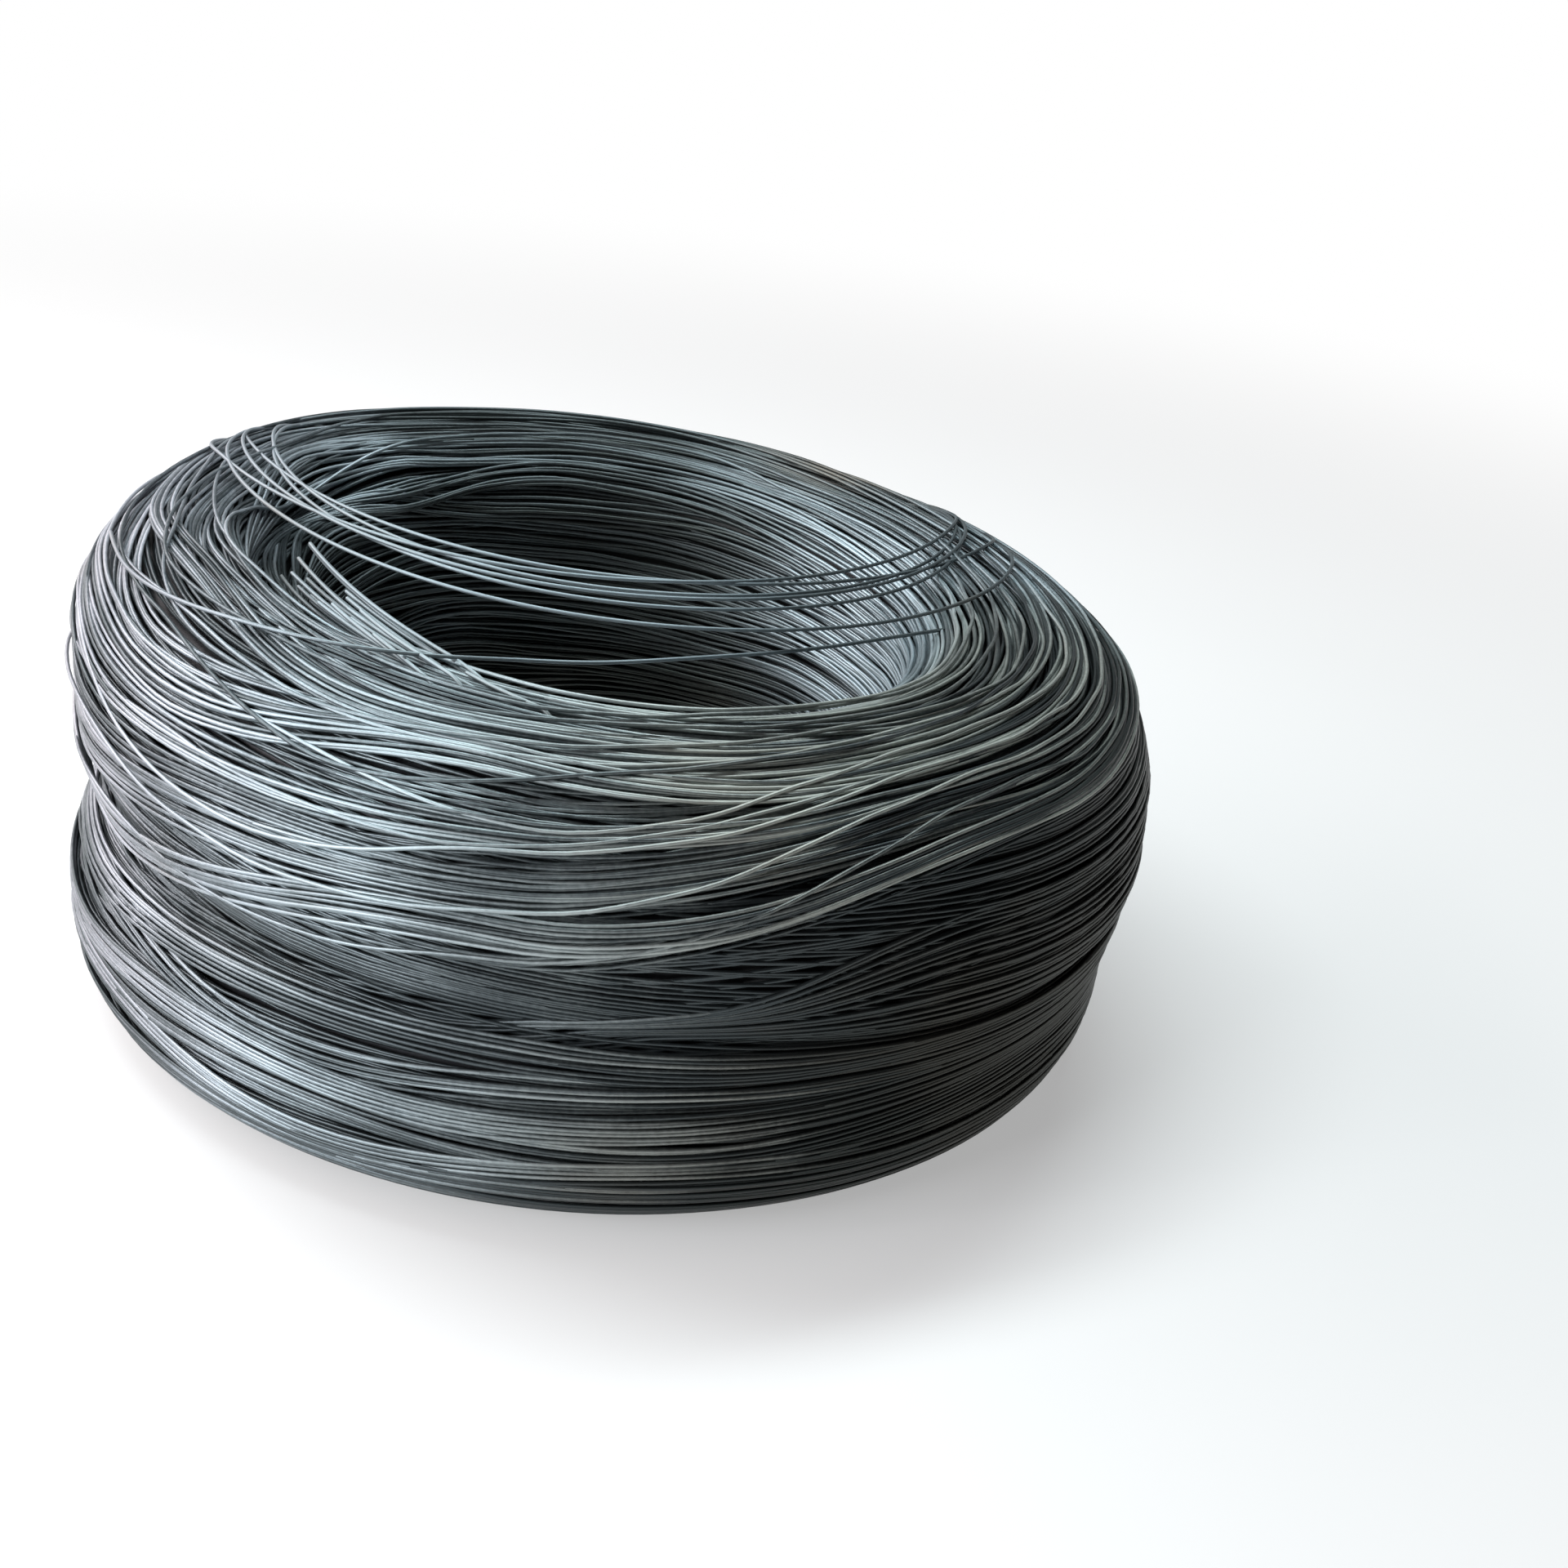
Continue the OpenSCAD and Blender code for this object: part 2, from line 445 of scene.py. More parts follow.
# %% Leaning and placing
lean_foot, lean_head = 0.070, 0.140
lean_x, lean_y = -0.065, 0.013
shift_outside, shift_inside = 0.009, -0.006
hollow_past = 0.032
hollow_at = marks[top_inner_corner][0] + hollow_past
hollow_half, hollow_depth = 0.036, 0.030
fill_half, fill_depth = 0.045, 0.012
# A direction round the axis, and the angles from it between which a share fades, in degrees
hollow_way = (188.0, 20, 55)
fill_way = (-12.0, 25, 75)


def leaned(nodes, radius, across, along, height):
    """The place of a point at this radius and height, after the upper lay's lean."""
    share = nodes.ramp_up(height, lean_foot, lean_head)
    outer = (radius - bore_r) / (upper_r - bore_r)
    shift = shift_inside + (shift_outside - shift_inside) * outer
    x = radius * across
    y = radius * along
    return nodes.join(x + share * shift, y, height + share * (lean_x * x + lean_y * y))


def facing(nodes, across, along, towards, near, far):
    """1 where the turn passes this direction, falling to 0 between two angles from it, in degrees."""
    way = nodes.math("RADIANS", towards)
    closeness = across * nodes.math("COSINE", way) + along * nodes.math("SINE", way)
    return nodes.ramp_up(closeness, math.cos(math.radians(far)), math.cos(math.radians(near)))


def hill(nodes, value, middle, half_width):
    """1 at the middle, falling smoothly to 0 at half a width on both sides."""
    distance = nodes.math("ABSOLUTE", value - middle)
    return 1.0 - nodes.ramp_up(distance, 0.0, half_width)


def on_section(nodes, outline, length, depth, across, along):
    """A point at this length along the outline and this deep under it, turned about the axis."""
    wrapped = nodes.math("WRAP", length, outline_length, 0.0)
    hollow = hill(nodes, wrapped, hollow_at, hollow_half) * facing(nodes, across, along, *hollow_way)
    filled = hill(nodes, wrapped, waist_at, fill_half) * facing(nodes, across, along, *fill_way)
    inset = depth + hollow * hollow_depth - filled * fill_depth + wire_r
    inputs = {"Curves": outline, "Length": wrapped}
    sample = nodes.add("GeometryNodeSampleCurve", {"mode": "LENGTH"}, inputs)
    outputs = {s.name: Socket(nodes, s) for s in sample.outputs if s.enabled}
    radius, _, height = nodes.split(outputs["Position"])
    slope_r, _, slope_h = nodes.split(outputs["Tangent"])
    height = nodes.math("MAXIMUM", height + slope_r * inset, wire_r)
    return leaned(nodes, radius - slope_h * inset, across, along, height)

# %% [markdown]
# ## Parts that all the trees share
# Every tree starts with named inputs, so that one tree makes many pieces, and ends with plain geometry,
# smooth shading and the finish. Between them a curve is copied, each copy's points are moved, its tint
# is stored and a small ring is drawn along it: that is how wire is made here.

# %% Shared tree parts
fillet_points = 14
seed_step = 17.0


def new_tree(name, sizes):
    """A geometry tree with these named inputs; returns its nodes, its inputs and their identifiers."""
    tree = bpy.data.node_groups.new(name, "GeometryNodeTree")
    tree.interface.new_socket("Geometry", in_out="OUTPUT", socket_type="NodeSocketGeometry")
    names = {}
    for label, kind in sizes.items():
        item = tree.interface.new_socket(label, in_out="INPUT", socket_type="NodeSocket" + kind)
        names[label] = item.identifier
    nodes = Nodes(tree)
    group = nodes.add("NodeGroupInput")
    return nodes, {label: Socket(nodes, group.outputs[label]) for label in sizes}, names


def rounded_section(nodes, section_object):
    """The section's corners with their arcs."""
    curve = nodes.get("GeometryNodeObjectInfo", "Geometry", None, {"Object": section_object})
    radius = nodes.get("GeometryNodeInputRadius", "Radius")
    inputs = {"Curve": curve, "Count": fillet_points, "Radius": radius}
    return nodes.get("GeometryNodeFilletCurve", "Curve", {"mode": "POLY"}, inputs)


def copied(nodes, curve, count):
    """This many copies of a curve, and each copy's number."""
    inputs = {"Geometry": curve, "Amount": count}
    copies = nodes.add("GeometryNodeDuplicateElements", {"domain": "SPLINE"}, inputs)
    return Socket(nodes, copies.outputs["Geometry"]), Socket(nodes, copies.outputs["Duplicate Index"])


def random_number(nodes, index, seed, use):
    """A number from 0 to 1 that belongs to this index; each use of it has its own number."""
    inputs = {"Min": 0.0, "Max": 1.0, "ID": index, "Seed": seed * seed_step + use}
    return nodes.get("FunctionNodeRandomValue", "Value", {"data_type": "FLOAT"}, inputs)


def as_wire(nodes, curves, place, tint, sides, caps):
    """The curves with their points at these places, as round wire that carries its tint."""
    laid = nodes.get("GeometryNodeSetPosition", "Geometry", None, {"Geometry": curves, "Position": place})
    stored = {"Geometry": laid, "Name": "tint", "Value": tint}
    number = {"data_type": "FLOAT", "domain": "POINT"}
    tinted = nodes.get("GeometryNodeStoreNamedAttribute", "Geometry", number, stored)
    round_wire = {"Resolution": sides, "Radius": wire_r}
    ring = nodes.get("GeometryNodeCurvePrimitiveCircle", "Curve", None, round_wire)
    swept = {"Curve": tinted, "Profile Curve": ring, "Fill Caps": caps}
    return nodes.get("GeometryNodeCurveToMesh", "Mesh", None, swept)


def finish_tree(nodes, geometry, material):
    """Realize Instances, smooth shading and the finish, then the output."""
    geometry = nodes.get("GeometryNodeRealizeInstances", "Geometry", None, {"Geometry": geometry})
    geometry = nodes.get("GeometryNodeSetShadeSmooth", "Geometry", None, {"Geometry": geometry})
    dressed = {"Geometry": geometry, "Material": material}
    geometry = nodes.get("GeometryNodeSetMaterial", "Geometry", None, dressed)
    nodes.add("NodeGroupOutput", None, {"Geometry": geometry})

# %% [markdown]
# ## A tree that lays the turns
# On the real coil every turn follows the section at some place, but never exactly: it drifts up and
# down as it goes round, together with the turns that were laid with it, and a little by itself. The
# tree starts with one circle, copies it once for each turn, and moves every point. A point's place
# along the outline is the turn's own place plus four drifts: a slow flow that all neighbours share, a
# drift for each bundle, a stray of its own and a short ripple. Noise read on a circle closes on itself,
# so each turn ends where it began.
#
# Left fan, Sag and Squeeze shape a whole layer. At the left the bundles fan out and sag, and a layer
# can be squeezed together towards its end on one side, which turns it into a belt.

# %% Inputs of the turns tree
turn_sizes = {
    "Section": "Object",
    "Turns": "Int",
    "Points": "Int",
    "Sides": "Int",
    "From": "Float",
    "To": "Float",
    "Depth": "Float",
    "Depth spread": "Float",
    "Flow": "Float",
    "Bundle": "Int",
    "Bundle drift": "Float",
    "Left fan": "Float",
    "Stray": "Float",
    "Ripple": "Float",
    "Lift": "Float",
    "Squeeze": "Float",
    "Squeeze at": "Float",
    "Sag": "Float",
    "Wear and painted shade": "Float",
    "Seed": "Int",
    "Material": "Material",
}
flow_waves, flow_length, flow_start = 0.9, 0.10, 4.0
bundle_waves, stray_waves, ripple_waves = 1.1, 1.6, 5.0
# Steps through the noise for each bundle or turn and for each seed, and where they start
drift_steps, stray_steps = (5.3, 11.1, 0.0), (3.9, 7.7, 50.0)
lift_steps, ripple_steps = (2.3, 5.9, 90.0), (6.1, 3.3, 130.0)
fan_way, sag_way, squeeze_angles = (205.0, 25, 100), (200.0, 10, 75), (36, 94)

# %% The turns tree
def drifts(nodes, across, along, index, size):
    """How far the points of a turn wander along the outline, and how far they lift off it."""
    seed = size["Seed"]
    bundle = nodes.math("FLOOR", index / size["Bundle"])

    def wave(waves, number, steps):
        level = number * steps[0] + seed * steps[1] + steps[2]
        return nodes.wander(nodes.join(across * waves, along * waves, level))

    drift = wave(bundle_waves, bundle, drift_steps)
    stray = wave(stray_waves, index, stray_steps)
    lift = wave(stray_waves, index, lift_steps)
    ripple = wave(ripple_waves, index, ripple_steps)
    fanned = size["Bundle drift"] + size["Left fan"] * facing(nodes, across, along, *fan_way)
    wandered = drift * fanned + stray * size["Stray"] + ripple * size["Ripple"]
    spread = size["Depth spread"] * random_number(nodes, bundle, seed, 2)
    return wandered, size["Depth"] + spread + lift * size["Lift"]


def laid_at(nodes, across, along, index, size):
    """A turn's place along the outline, with the flow, the squeeze and the sag of its layer."""
    whole = size["To"] - size["From"]
    own = size["From"] + (index + random_number(nodes, index, size["Seed"], 1)) * (whole / size["Turns"])
    level = own / flow_length + flow_start
    flow = nodes.wander(nodes.join(across * flow_waves, along * flow_waves, level), 1.0)
    squeezed = facing(nodes, across, along, size["Squeeze at"], *squeeze_angles) * size["Squeeze"]
    hanging = facing(nodes, across, along, *sag_way) * size["Sag"] / whole
    return own + (size["To"] - own) * (squeezed - hanging) + flow * size["Flow"]


def build_turns_tree():
    nodes, size, names = new_tree("wire_turns", turn_sizes)
    outline = rounded_section(nodes, size["Section"])
    one_turn = {"Resolution": size["Points"], "Radius": 1.0}
    circle = nodes.get("GeometryNodeCurvePrimitiveCircle", "Curve", None, one_turn)
    turns, index = copied(nodes, circle, size["Turns"])
    across, along, _ = nodes.split(nodes.get("GeometryNodeInputPosition", "Position"))
    wandered, depth = drifts(nodes, across, along, index, size)
    length = laid_at(nodes, across, along, index, size) + wandered
    place = on_section(nodes, outline, length, depth, across, along)
    # A wear share below 1 darkens a layer's turns: partly less rubbing, partly painted shade
    tint = random_number(nodes, index, size["Seed"], 3) * size["Wear and painted shade"]
    wire = as_wire(nodes, turns, place, tint, size["Sides"], False)
    finish_tree(nodes, wire, size["Material"])
    return nodes.tree, names


turns_tree, turns_names = build_turns_tree()
print("turns tree:", len(turns_tree.nodes), "nodes")

# %% [markdown]
# ## From a tree to a plain mesh
# A tree is evaluated once on an empty object, and what comes out is kept as a plain mesh. The object
# itself stays at the origin, with the shape's place in its vertices.

# %% Making a piece
def make_piece(name, tree, names, values):
    """Evaluates a tree with these inputs and keeps the result as a plain mesh."""
    piece = bpy.data.objects.new(name, bpy.data.meshes.new(name + "_start"))
    bpy.context.scene.collection.objects.link(piece)
    modifier = piece.modifiers.new("tree", "NODES")
    modifier.node_group = tree
    for label, value in values.items():
        modifier[names[label]] = value
    depsgraph = bpy.context.evaluated_depsgraph_get()
    mesh = bpy.data.meshes.new_from_object(piece.evaluated_get(depsgraph))
    piece.modifiers.clear()
    piece.data = mesh
    mesh.name = name
    triangles = sum(len(p.vertices) - 2 for p in mesh.polygons)
    print(f"{name}: {triangles} triangles")
    return piece


def dress(piece, cad_node):
    """The piece moves with the coil and stands for this CAD node, which is hidden."""
    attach(piece, "root")
    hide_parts(cad_node)

# %% [markdown]
# ## The packed middle
# Under the visible turns lie many more. They only show as darkness between the outer ones, so
# they are one closed skin under the turns, in a near-black finish that is painted shade: a grid, bent
# round the section one way and round the axis the other. Its seams are merged, and its faces are turned
# outward.

# %% Packed turns
core_sizes = {"Section": "Object", "Depth": "Float", "Material": "Material"}
core_around, core_along = 96, 120
core_depth, seam_gap = 0.0105, 0.0002
just_under_one = 0.99999


def build_core_tree():
    nodes, size, names = new_tree("packed_core", core_sizes)
    outline = rounded_section(nodes, size["Section"])
    cells = {"Size X": 1.0, "Size Y": 1.0, "Vertices X": core_along + 1, "Vertices Y": core_around + 1}
    grid = nodes.get("GeometryNodeMeshGrid", "Mesh", None, cells)
    share_x, share_y, _ = nodes.split(nodes.get("GeometryNodeInputPosition", "Position"))
    angle = (share_y + 0.5) * (2 * math.pi)
    across = nodes.math("COSINE", angle)
    along = nodes.math("SINE", angle)
    length = (share_x + 0.5) * (outline_length * just_under_one)
    place = on_section(nodes, outline, length, size["Depth"], across, along)
    bent = nodes.get("GeometryNodeSetPosition", "Geometry", None, {"Geometry": grid, "Position": place})
    seams = {"Geometry": bent, "Distance": seam_gap}
    closed = nodes.get("GeometryNodeMergeByDistance", "Geometry", None, seams)
    finish_tree(nodes, closed, size["Material"])
    return nodes.tree, names


core_tree, core_names = build_core_tree()
core_values = {"Section": section, "Depth": core_depth, "Material": core_material}
packed_turns = make_piece("packed_turns", core_tree, core_names, core_values)
shell = bmesh.new()
shell.from_mesh(packed_turns.data)
bmesh.ops.recalc_face_normals(shell, faces=shell.faces)
shell.to_mesh(packed_turns.data)
shell.free()
dress(packed_turns, "coil")

# %% [markdown]
# ## The turns that show
# The outline is covered in stretches, each a piece of its own: the base with the lower lay, the upper
# lay, and the mouth with the bore. Two belts lie in the waist between the lays: one runs round below
# the upper lay, and one is spread out at the right and squeezed together at the left, which gives the
# crossing bands at the right front. A few loose turns lie on top of the upper lay. Directions round
# the axis are in degrees from the right, lengths are in metres.

# %% Outer layers
crest_at = (marks[top_outer_corner][1] + marks[top_inner_corner][0]) / 2
right_side, left_side = -5.0, 215.0
plain_layer = {"Section": section, "Flow": 0.008, "Squeeze": 0.0, "Squeeze at": right_side, "Sag": 0.0}
outer_layers = {
    "lower_lay_turns": {
        "From": 0.0, "To": waist_at, "Pitch": 0.0021, "Points": 144, "Sides": 6,
        "Depth": 0.0, "Depth spread": 0.0032, "Bundle": 7, "Bundle drift": 0.006, "Left fan": 0.012,
        "Stray": 0.0016, "Lift": 0.0010, "Wear and painted shade": 1.0,
    },
    "upper_lay_turns": {
        "From": waist_at + 0.052, "To": crest_at, "Pitch": 0.0020, "Points": 144, "Sides": 6,
        "Depth": -0.002, "Depth spread": 0.006, "Bundle": 8, "Bundle drift": 0.008, "Left fan": 0.028,
        "Stray": 0.0022, "Lift": 0.0020, "Squeeze": 0.48, "Sag": 0.026, "Wear and painted shade": 1.0,
    },
    # In the belts of the waist, the low wear is partly painted shade
    "middle_turns": {
        "From": waist_at - 0.014, "To": waist_at + 0.110, "Pitch": 0.0034, "Points": 128, "Sides": 6,
        "Depth": 0.0055, "Depth spread": 0.003, "Bundle": 6, "Bundle drift": 0.004, "Left fan": 0.010,
        "Stray": 0.0015, "Lift": 0.0015, "Squeeze": 0.50, "Wear and painted shade": 0.15,
    },
    "right_turns": {
        "From": waist_at + 0.080, "To": waist_at - 0.012, "Pitch": 0.0034, "Points": 128, "Sides": 6,
        "Depth": 0.005, "Depth spread": 0.003, "Bundle": 6, "Bundle drift": 0.004, "Left fan": 0.0,
        "Stray": 0.0015, "Lift": 0.0015, "Squeeze": 0.90, "Squeeze at": left_side, "Wear and painted shade": 0.5,
    },
    "bore_turns": {
        "From": crest_at, "To": outline_length, "Pitch": 0.0025, "Points": 128, "Sides": 6,
        "Depth": 0.0, "Depth spread": 0.0040, "Bundle": 6, "Bundle drift": 0.007, "Left fan": 0.020,
        "Stray": 0.0018, "Lift": 0.0015, "Wear and painted shade": 1.0,
    },
    "loose_turns": {
        "From": waist_at + 0.055, "To": crest_at + 0.03, "Pitch": 0.014, "Points": 160, "Sides": 6,
        "Depth": -0.0030, "Depth spread": 0.002, "Bundle": 1, "Bundle drift": 0.006, "Left fan": 0.030,
        "Stray": 0.004, "Lift": 0.0012, "Squeeze": 0.48, "Sag": 0.024, "Wear and painted shade": 1.0,
    },
}

# %% [markdown]
# ## The turns beneath
# Through the gaps of the outer turns one sees others, a little deeper and less rubbed; their lower wear
# is partly that and partly painted shade. They can be coarser: fewer points round each turn and fewer
# sides to the wire. One layer lies deeper still, just above the packed middle, and is laid more evenly,
# so that it closes the widest gaps. In the waist the outline bends inward, which draws deep turns apart,
# so a last narrow layer adds some there. All layers are then laid in one loop, each with its own seed.

# %% Under layers, and laying all of them
under_layer = {
    "Pitch": 0.0030, "Points": 96, "Sides": 5, "Depth": 0.003, "Depth spread": 0.003,
    "Bundle": 5, "Bundle drift": 0.006, "Left fan": 0.016, "Stray": 0.0025, "Lift": 0.0008, "Wear and painted shade": 0.4,
}
under_layers = {
    "under_lower_turns": {**under_layer, "From": 0.0, "To": waist_at},
    "under_upper_turns": {
        **under_layer, "From": waist_at + 0.036, "To": crest_at,
        "Left fan": 0.024, "Stray": 0.002, "Squeeze": 0.48, "Sag": 0.022,
    },
    "under_bore_turns": {
        **under_layer, "From": crest_at, "To": outline_length, "Depth": 0.0035, "Depth spread": 0.002,
    },
    "deep_turns": {
        **under_layer, "From": 0.0, "To": outline_length, "Pitch": 0.0034, "Points": 80, "Sides": 4,
        "Depth": 0.006, "Bundle drift": 0.002, "Left fan": 0.0, "Stray": 0.0020, "Wear and painted shade": 0.15,
    },
    "waist_turns": {
        **under_layer, "From": waist_at - 0.012, "To": waist_at + 0.012, "Pitch": 0.0012, "Points": 80,
        "Depth": 0.006, "Bundle": 4, "Bundle drift": 0.001, "Left fan": 0.0, "Stray": 0.0012, "Wear and painted shade": 0.3,
    },
}
ripple_share = 0.45
for seed, (name, layer) in enumerate({**outer_layers, **under_layers}.items(), start=1):
    values = {**plain_layer, **layer, "Seed": seed, "Material": wire_material}
    pitch = values.pop("Pitch")
    values["Turns"] = round(abs(values["To"] - values["From"]) / pitch)
    values["Ripple"] = ripple_share * values["Stray"]
    dress(make_piece(name, turns_tree, turns_names, values), "coil")

# %% [markdown]
# ## Slack turns across the bore
# A few turns have slid off the top. Each is still a circle of about the coil's own size, pushed aside
# far enough to cross the mouth of the bore. Where it meets the crest it bends and follows it, and then
# it sinks in among the other turns. A tree copies one line and bends each copy to its own arc. The
# distance from the axis is held to the crest with a smooth minimum, which makes the bend.

# %% Inputs of the slack tree
slack_sizes = {
    "Turns": "Int",
    "Points": "Int",
    "Radius": "Float",
    "Radius spread": "Float",
    "Reach": "Float",
    "Step": "Float",
    "Direction": "Float",
    "Direction spread": "Float",
    "Left drop": "Float",
    "Right drop": "Float",
    "Left overrun": "Float",
    "Right overrun": "Float",
    "Stagger": "Float",
    "Join": "Float",
    "Sink from": "Float",
    "Left sink": "Float",
    "Right sink": "Float",
    "Pile": "Float",
    "Seed": "Int",
    "Material": "Material",
}
slack_wave, slack_wave_steps = 0.0015, (2.2, 4.1, 1.7)
uneven_steps = 0.6
join_spread, join_bend = 0.022, 0.05
slack_tint, slack_tint_spread, slack_sides = 1.15, 0.3, 8
dome_r = top_outer_r
dome_at = upper_r - dome_r
crest_r = (bore_r + top_inner_r + dome_at) / 2

# %% The slack tree
def slack_arc(nodes, share, index, size):
    """Where a slack turn runs, seen from above, before its distance from the axis is held."""
    seed = size["Seed"]
    uneven = random_number(nodes, index, seed, 1) - 0.5
    reach = size["Reach"] + (index + uneven_steps * uneven) * size["Step"]
    radius = size["Radius"] + (random_number(nodes, index, seed, 4) - 0.5) * size["Radius spread"]
    slide = radius - reach
    cosine = (slide * slide + radius * radius - crest_r * crest_r) / (slide * radius * 2.0)
    half_span = nodes.math("ARCCOSINE", cosine)
    stagger = random_number(nodes, index, seed, 7) * size["Stagger"]
    left_end = half_span * -1.0 - size["Left overrun"] + stagger
    right_end = half_span + size["Right overrun"]
    angle = math.pi + left_end + (right_end - left_end) * share
    by_share, by_turn, by_seed = slack_wave_steps
    wave = nodes.wander(nodes.join(share * by_share, index * by_turn, seed * by_seed)) * slack_wave
    x = slide + (radius + wave) * nodes.math("COSINE", angle)
    y = (radius + wave) * nodes.math("SINE", angle)
    turn = size["Direction"] + (random_number(nodes, index, seed, 5) - 0.5) * size["Direction spread"]
    across = x * nodes.math("COSINE", turn) - y * nodes.math("SINE", turn)
    return across, x * nodes.math("SINE", turn) + y * nodes.math("COSINE", turn)


def slack_height(nodes, share, index, held, size):
    """How high a slack turn lies: on the crest, over its edge, and down at its ends."""
    seed = size["Seed"]
    past = nodes.math("MAXIMUM", held - dome_at, 0.0)
    fall = dome_r - nodes.math("SQRT", nodes.math("MAXIMUM", dome_r * dome_r - past * past, 0.0))
    half_way = share * 2.0 - 1.0
    left_sunk = nodes.ramp_up(half_way * -1.0, size["Sink from"], 1.0) * size["Left sink"]
    right_sunk = nodes.ramp_up(half_way, size["Sink from"], 1.0) * size["Right sink"]
    rest = random_number(nodes, index, seed, 6) * size["Pile"]
    # Left drop is a mean: each turn drops by its own share of twice as much
    left_drop = size["Left drop"] * 2.0 * random_number(nodes, index, seed, 9)
    drop = left_drop + (size["Right drop"] - left_drop) * share
    return coil_h + wire_r + rest - drop - fall - left_sunk - right_sunk


def build_slack_tree():
    nodes, size, names = new_tree("slack_turns", slack_sizes)
    line = nodes.get("GeometryNodeCurvePrimitiveLine", "Curve", None, {"End": (1.0, 0.0, 0.0)})
    line = nodes.get("GeometryNodeResampleCurve", "Curve", None, {"Curve": line, "Count": size["Points"]})
    turns, index = copied(nodes, line, size["Turns"])
    share, _, _ = nodes.split(nodes.get("GeometryNodeInputPosition", "Position"))
    across, along = slack_arc(nodes, share, index, size)
    distance = nodes.math("SQRT", across * across + along * along)
    join_r = size["Join"] + random_number(nodes, index, size["Seed"], 8) * join_spread
    held = nodes.math("SMOOTH_MIN", distance, join_r, join_bend)
    height = slack_height(nodes, share, index, held, size)
    place = leaned(nodes, held, across / distance, along / distance, height)
    tint = slack_tint + slack_tint_spread * random_number(nodes, index, size["Seed"], 3)
    wire = as_wire(nodes, turns, place, tint, slack_sides, True)
    finish_tree(nodes, wire, size["Material"])
    return nodes.tree, names


slack_tree, slack_names = build_slack_tree()
print("slack tree:", len(slack_tree.nodes), "nodes")

# %% [markdown]
# Three groups come from that tree: the turns that cross side by side, a single one in front of them,
# and a loose bundle in the hollow at the left of the mouth, whose tips stand free like a brush.

# %% Slack turns
slack_groups = {
    "crossing_turns": {
        "Turns": 5, "Radius": 0.212, "Radius spread": 0.050, "Reach": 0.036, "Step": 0.0080,
        "Direction": math.radians(95), "Direction spread": math.radians(18),
        "Left drop": 0.0, "Right drop": 0.0, "Left overrun": 1.00, "Right overrun": 0.90,
        "Stagger": 0.30, "Sink from": 0.72, "Left sink": 0.012, "Right sink": 0.012,
        "Pile": 0.002, "Seed": 1,
    },
    "single_turn": {
        "Turns": 1, "Radius": 0.222, "Radius spread": 0.0, "Reach": 0.097, "Step": 0.008,
        "Direction": math.radians(92), "Direction spread": 0.0,
        "Left drop": 0.0, "Right drop": 0.0, "Left overrun": 0.90, "Right overrun": 0.80,
        "Stagger": 0.0, "Sink from": 0.72, "Left sink": 0.012, "Right sink": 0.012,
        "Pile": 0.002, "Seed": 2,
    },
    "inner_turns": {
        "Turns": 28, "Radius": 0.38, "Radius spread": 0.10, "Reach": 0.154, "Step": 0.0010,
        "Direction": math.radians(34), "Direction spread": math.radians(12),
        "Left drop": 0.015, "Right drop": 0.011, "Left overrun": -0.35, "Right overrun": 0.05,
        "Stagger": 0.24, "Sink from": 0.15, "Left sink": 0.0, "Right sink": 0.022,
        "Pile": 0.007, "Seed": 4,
    },
}
slack_common = {"Points": 120, "Join": 0.232, "Material": wire_material}
for name, group in slack_groups.items():
    dress(make_piece(name, slack_tree, slack_names, {**slack_common, **group}), "slack_turns")

# %% [markdown]
# ## One strand with listed points
# One more strand lies on the crest at the left, leaves it at the front and sags across the bore to its
# right wall. It follows no circle, so its points are listed one by one, each as a direction in degrees, a
# distance from the axis and a depth under the top. A smooth curve along them gets the wire's thickness.

# %% Route of the front strand
front_route = [
    (190, 0.258, 0.0),
    (198, 0.256, 0.0),
    (206, 0.252, 0.0),
    (215, 0.244, 0.0),
    (224, 0.233, 0.0),
    (233, 0.221, 0.0),
    (241, 0.203, 0.0),
    (247, 0.178, 0.004),
    (255, 0.148, 0.009),
    (270, 0.130, 0.011),
    (296, 0.112, 0.012),
    (322, 0.122, 0.012),
    (342, 0.142, 0.012),
    (353, 0.160, 0.014),
    (358, 0.170, 0.016),
]
strand_proud, strand_tint = 0.0045, 1.2


def on_top(direction, distance, under):
    """A place this far under the top of the coil, after the upper lay's lean."""
    past = max(distance - dome_at, 0.0)
    fall = dome_r - math.sqrt(dome_r**2 - past**2)
    shift = shift_inside + (shift_outside - shift_inside) * (distance - bore_r) / (upper_r - bore_r)
    x = distance * math.cos(math.radians(direction))
    y = distance * math.sin(math.radians(direction))
    return Vector((x + shift, y, coil_h + strand_proud - under - fall + lean_x * x + lean_y * y))

# %% Front strand
def strand_mesh_along(name, places):
    """A round wire on a smooth curve along these places, as a plain mesh."""
    curve = bpy.data.curves.new(name, "CURVE")
    curve.dimensions = "3D"
    curve.bevel_depth = wire_r
    curve.bevel_resolution = 2
    curve.use_fill_caps = True
    spline = curve.splines.new("NURBS")
    spline.points.add(len(places) - 1)
    spline.use_endpoint_u = True
    spline.order_u = 4
    spline.resolution_u = 8
    for point, place in zip(spline.points, places):
        point.co = (*place, 1)
    start = bpy.data.objects.new(name + "_curve", curve)
    bpy.context.scene.collection.objects.link(start)
    mesh = bpy.data.meshes.new_from_object(start.evaluated_get(bpy.context.evaluated_depsgraph_get()))
    bpy.data.objects.remove(start)
    return mesh


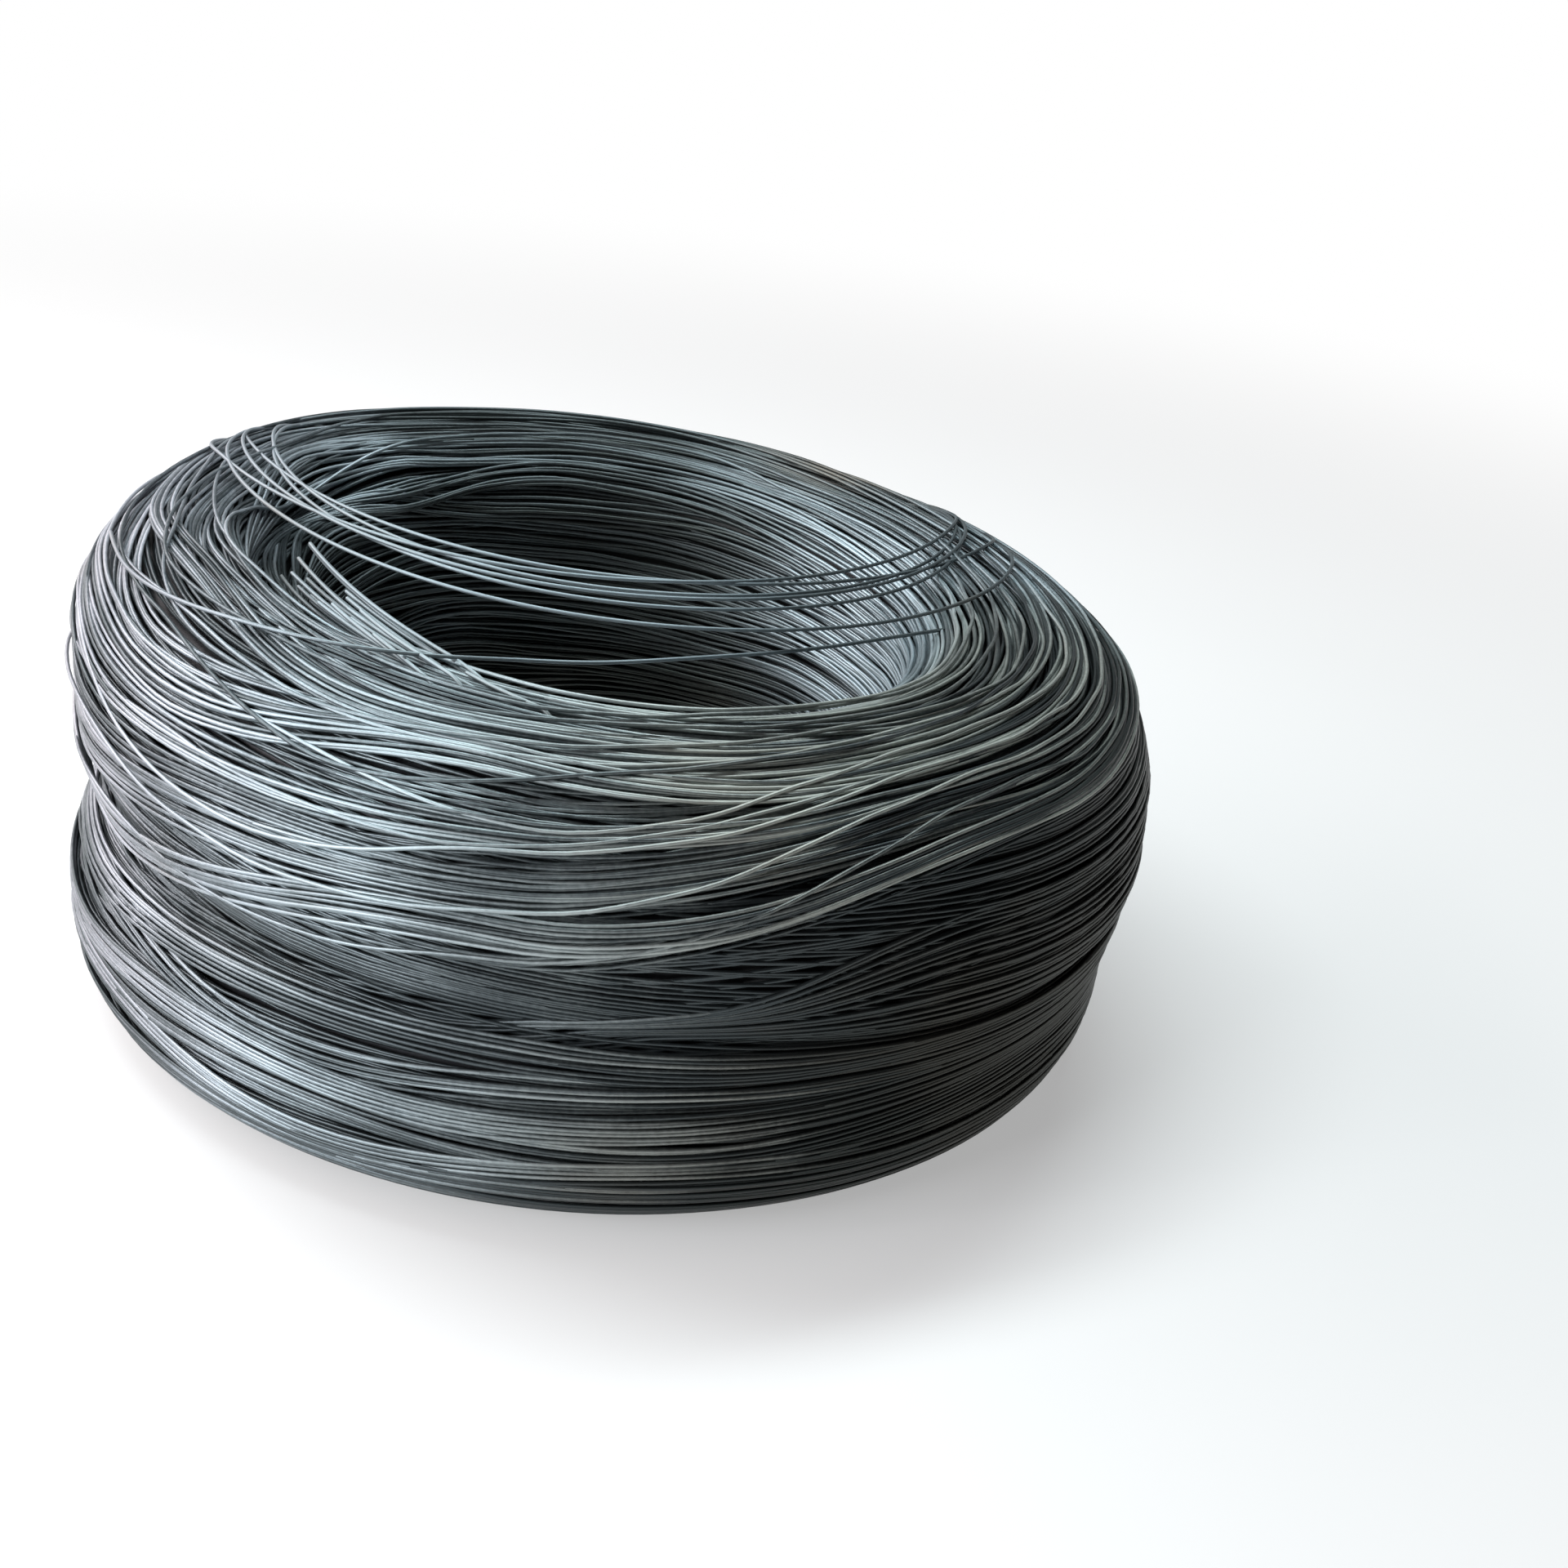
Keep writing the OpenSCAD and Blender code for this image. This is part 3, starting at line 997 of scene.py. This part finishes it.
strand_mesh = strand_mesh_along("front_strand", [on_top(*stop) for stop in front_route])
tint = strand_mesh.attributes.new("tint", "FLOAT", "POINT")
tint.data.foreach_set("value", [strand_tint] * len(strand_mesh.vertices))
strand_mesh.materials.clear()
strand_mesh.materials.append(wire_material)
front_strand = bpy.data.objects.new("front_strand", strand_mesh)
bpy.context.scene.collection.objects.link(front_strand)
dress(front_strand, "slack_turns")
print("front strand:", len(strand_mesh.polygons), "faces")

# %% [markdown]
# ## A plain studio
# The coil stands on a pale floor that keeps its shadow near by and turns plain white further out. A
# white background made with more light would bleach the wire, so the floor glows only for rays that
# are seen: from the camera, in reflections and through clear material. A rim far away closes the view
# at low angles with the same finish.

# %% Floor
floor_colour = (0.86, 0.86, 0.86)
floor_half, rim_h = 20.0, 3.6
near_white = 0.40
far_start, far_end = 0.5, 2.0


def floor_finish():
    """Pale floor that keeps the shadow near the coil and turns plain white further out."""
    material = bpy.data.materials.new("studio_floor")
    material.use_nodes = True
    material.node_tree.nodes.clear()
    nodes = Nodes(material.node_tree)
    place = nodes.get("ShaderNodeTexCoord", "Object")
    distance = nodes.get("ShaderNodeVectorMath", "Value", {"operation": "LENGTH"}, {0: place})
    path = nodes.add("ShaderNodeLightPath")
    ray_kinds = ("Is Camera Ray", "Is Glossy Ray", "Is Transmission Ray")
    camera_ray, glossy_ray, through_ray = [Socket(nodes, path.outputs[kind]) for kind in ray_kinds]
    seen = nodes.math("MINIMUM", camera_ray + glossy_ray + through_ray, 1.0)
    spread = near_white + (1.0 - near_white) * nodes.ramp_up(distance, far_start, far_end)
    matt = nodes.get("ShaderNodeBsdfDiffuse", "BSDF", None, {"Color": (*floor_colour, 1)})
    glow = nodes.get("ShaderNodeEmission", "Emission", None, {"Color": (1, 1, 1, 1), "Strength": 1.0})
    mixed = nodes.get("ShaderNodeMixShader", "Shader", None, {0: spread * seen, 1: matt, 2: glow})
    nodes.add("ShaderNodeOutputMaterial", None, {"Surface": mixed})
    return material


floor_mesh = bpy.data.meshes.new("studio_floor")
floor_ends = ((-1, -1), (1, -1), (1, 1), (-1, 1))
floor_mesh.from_pydata(
    [(x * floor_half, y * floor_half, z) for z in (0, rim_h) for x, y in floor_ends],
    [],
    [(0, 1, 2, 3)] + [(i, i + 4, (i + 1) % 4 + 4, (i + 1) % 4) for i in range(4)],
)
floor = bpy.data.objects.new("studio_floor", floor_mesh)
bpy.context.scene.collection.objects.link(floor)
floor_mesh.materials.append(floor_finish())
print("floor:", 2 * floor_half, "m wide, rim", rim_h, "m high")

# %% [markdown]
# ## Four soft lamps
# A wide lamp at the left does most of the work, as a window would: it lights the left of the coil and,
# through the bore, the inside of the right. A smaller one at the left front brings out the turns that
# face the camera. A faint one at the left rear keeps the far rim apart from the floor, and a long one
# overhead draws a line of light along the crest. The world adds only a little.

# %% Lamps and world
lamp_aim = Vector((0, 0, 0.12))
world_strength = 0.03


def add_lamp(name, place, width, height, watts, colour):
    """A rectangular lamp at this place, turned towards the coil."""
    data = bpy.data.lights.new(name, "AREA")
    data.shape = "RECTANGLE"
    data.size = width
    data.size_y = height
    data.energy = watts
    data.color = colour
    lamp = bpy.data.objects.new(name, data)
    lamp.location = place
    lamp.rotation_euler = (lamp_aim - Vector(place)).to_track_quat("-Z", "Y").to_euler()
    bpy.context.scene.collection.objects.link(lamp)


lamps = {
    "window_lamp": {
        "place": (-1.4, 0.20, 1.0), "width": 2.4, "height": 0.75,
        "watts": 33.5, "colour": (1.0, 0.93, 0.92),
    },
    "near_lamp": {
        "place": (-1.2, -1.1, 0.7), "width": 0.9, "height": 0.45,
        "watts": 19.0, "colour": (0.95, 0.96, 1.0),
    },
    "rear_lamp": {
        "place": (-0.95, 0.95, 1.3), "width": 1.0, "height": 0.4,
        "watts": 2.0, "colour": (0.80, 0.95, 1.0),
    },
    "top_lamp": {
        "place": (-0.10, 0.20, 1.45), "width": 1.7, "height": 0.30,
        "watts": 24.0, "colour": (0.88, 0.98, 1.0),
    },
}
for name, lamp in lamps.items():
    add_lamp(name, **lamp)
world = bpy.data.worlds.new("studio")
world.use_nodes = True
world_nodes = world.node_tree.nodes
world_nodes["Background"].inputs["Color"].default_value = (1, 1, 1, 1)
world_nodes["Background"].inputs["Strength"].default_value = world_strength
bpy.context.scene.world = world
print("lamps:", ", ".join(lamps))

# %% [markdown]
# ## Tidy up
# The helper curve goes.

# %% Finish
bpy.data.objects.remove(section)
